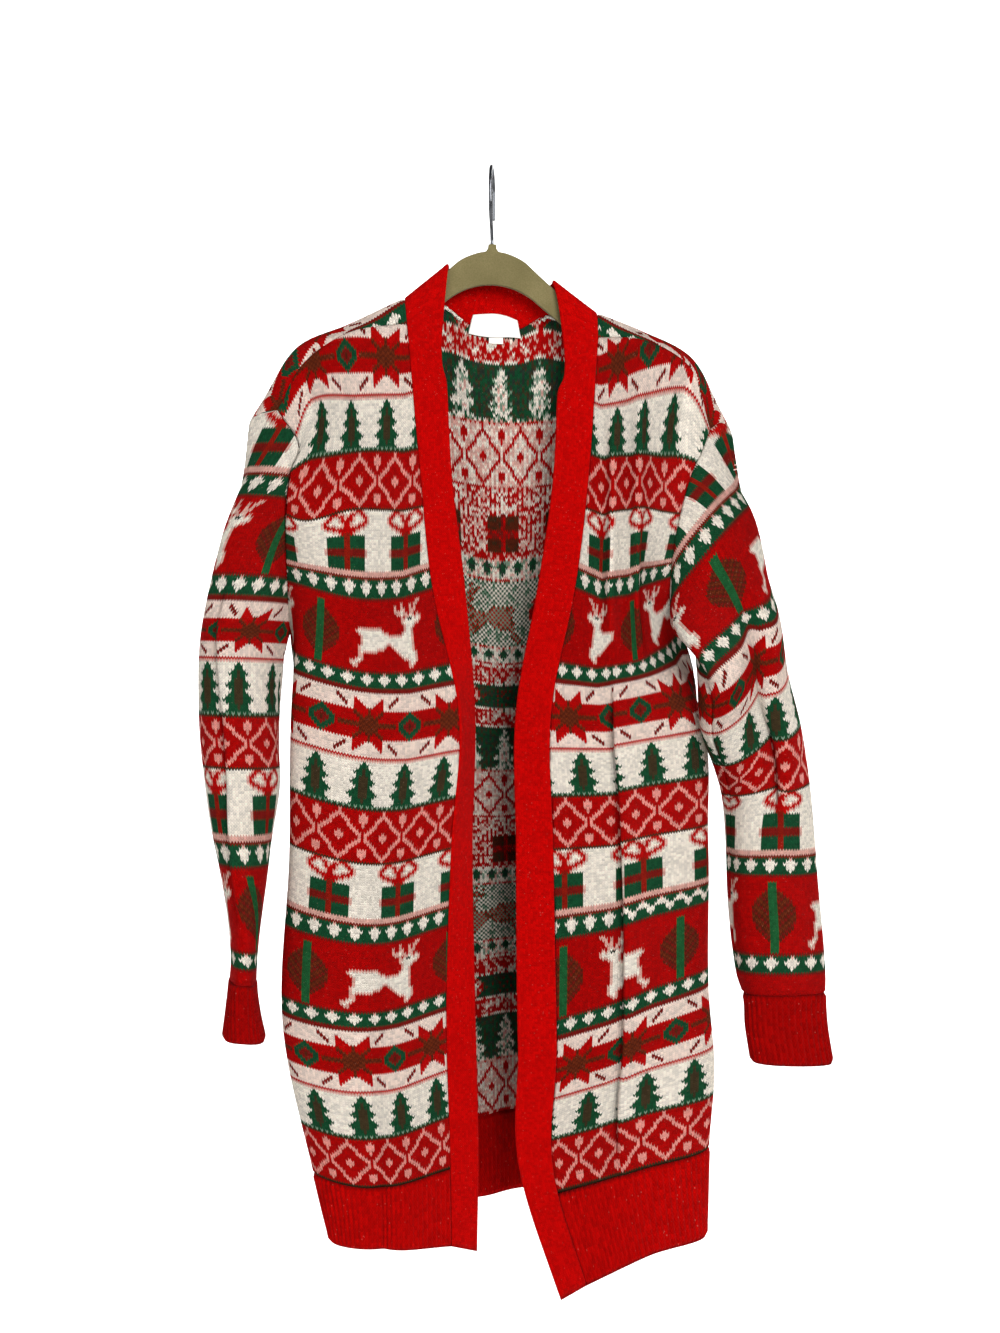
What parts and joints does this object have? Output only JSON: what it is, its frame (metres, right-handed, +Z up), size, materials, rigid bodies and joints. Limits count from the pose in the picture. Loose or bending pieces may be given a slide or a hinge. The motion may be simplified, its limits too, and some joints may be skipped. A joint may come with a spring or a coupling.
{
  "type": "christmas cardigan on a hanger",
  "caption": "Long open-front knitted christmas cardigan with long sleeves, front band, ribbed hem and cuffs, hung on a slim arched hanger with a wire hook.",
  "frame": {"origin": "inside top of the hanger's hook, where the rod carries it", "axes": "+Z up; +X to the right as seen from the front; +Y to the back"},
  "size_m": [0.5365, 0.1266, 0.9384],
  "materials": {
    "jacquard_knit": "brushed knit, patterned in bands",
    "band_knit": "plain knit",
    "rib_knit": "ribbed knit",
    "label": "woven label, bare",
    "flocking": "short velvet flock",
    "hook_steel": "polished"
  },
  "bodies": {
    "root": {"back_panel": "jacquard_knit", "front_left": "jacquard_knit", "front_right": "jacquard_knit", "sleeve_left": "jacquard_knit", "sleeve_right": "jacquard_knit", "cuff_left": "rib_knit", "cuff_right": "rib_knit", "hem_back": "rib_knit", "hem_front_left": "rib_knit", "hem_front_right": "rib_knit", "band_left": "band_knit", "band_neck": "band_knit", "band_right": "band_knit", "neck_label": "label", "size_tab": "label", "hanger_body": "flocking", "hanger_hook": "hook_steel"}
  },
  "joints": []
}
